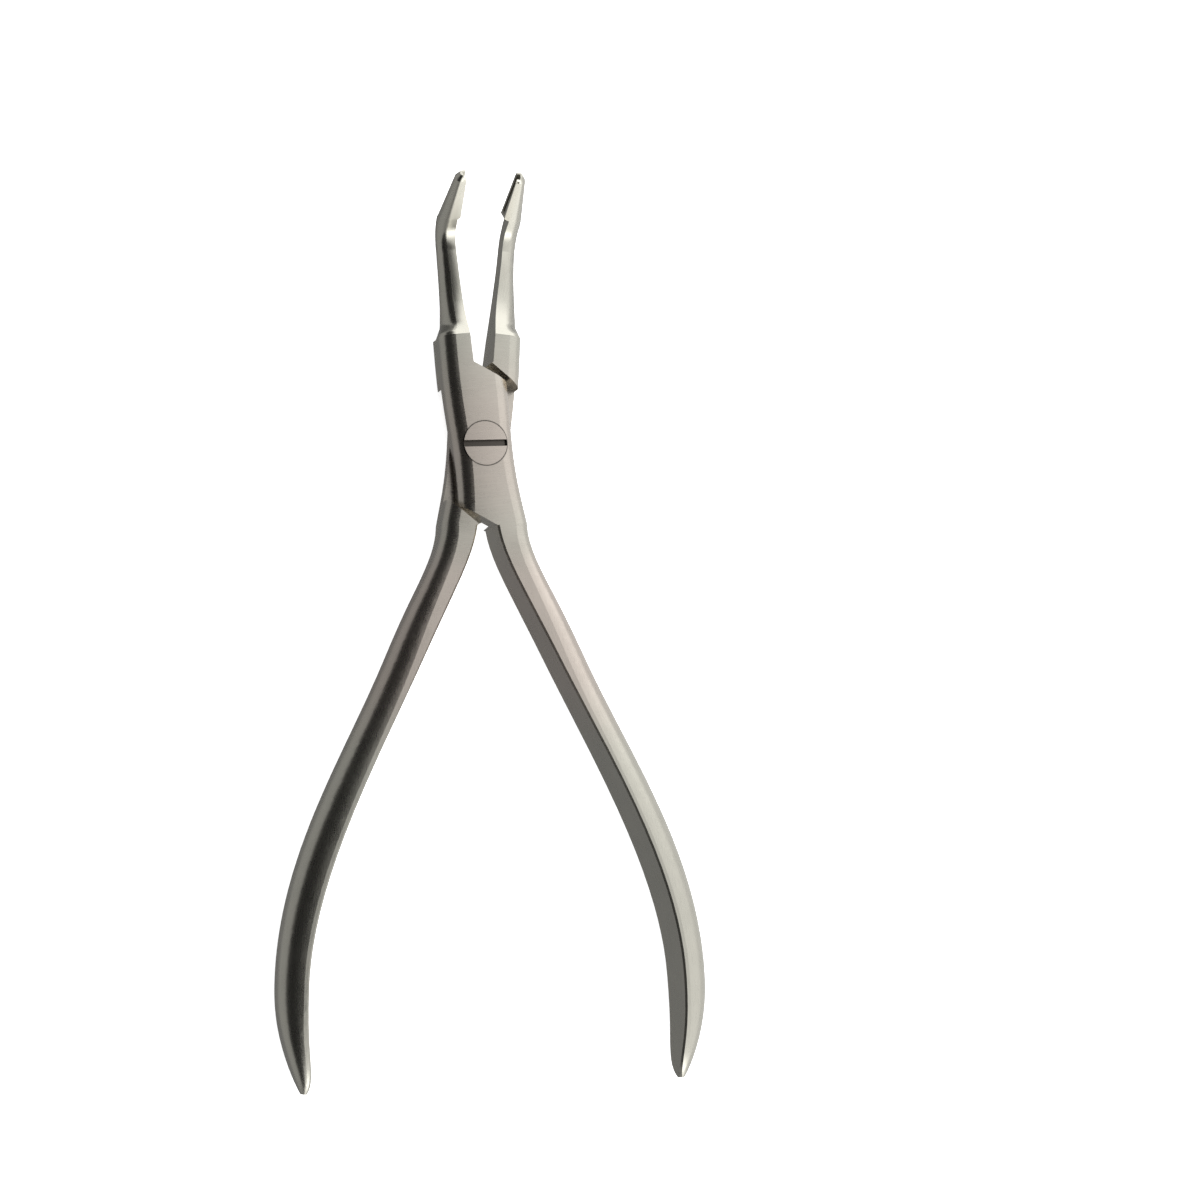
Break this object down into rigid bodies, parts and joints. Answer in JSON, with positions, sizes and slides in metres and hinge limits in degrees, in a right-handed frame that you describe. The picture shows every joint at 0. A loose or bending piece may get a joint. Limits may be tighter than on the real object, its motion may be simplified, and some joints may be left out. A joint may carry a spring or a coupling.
{
  "type": "bent nose grooved jaw pliers",
  "caption": "Small steel lap-joint pliers with a bent nose, toothed grip grooves, slim bowed handles and a slotted pivot screw, for closing metal beads.",
  "frame": {"origin": "on the pivot axis, at the joint's flat back face", "axes": "+Z along the pivot axis, out of the slotted screw head; +Y towards the jaws; +X to the right when the screw head faces the viewer"},
  "size_m": [0.0662, 0.1368, 0.0164],
  "materials": {
    "lever_steel": "satin ground stainless steel, brushed along the lever",
    "screw_steel": "satin stainless steel, brushed straight across the head"
  },
  "bodies": {
    "rear_half": {"rear_lever": "lever_steel", "pivot_screw": "screw_steel"},
    "front_half": {"front_lever": "lever_steel"}
  },
  "joints": [
    {"name": "pivot", "type": "hinge", "parent": "rear_half", "child": "front_half", "pos_m": [0, 0, 0.0039], "axis": [0, 0, 1], "range_deg": [-11.4, 110]}
  ]
}
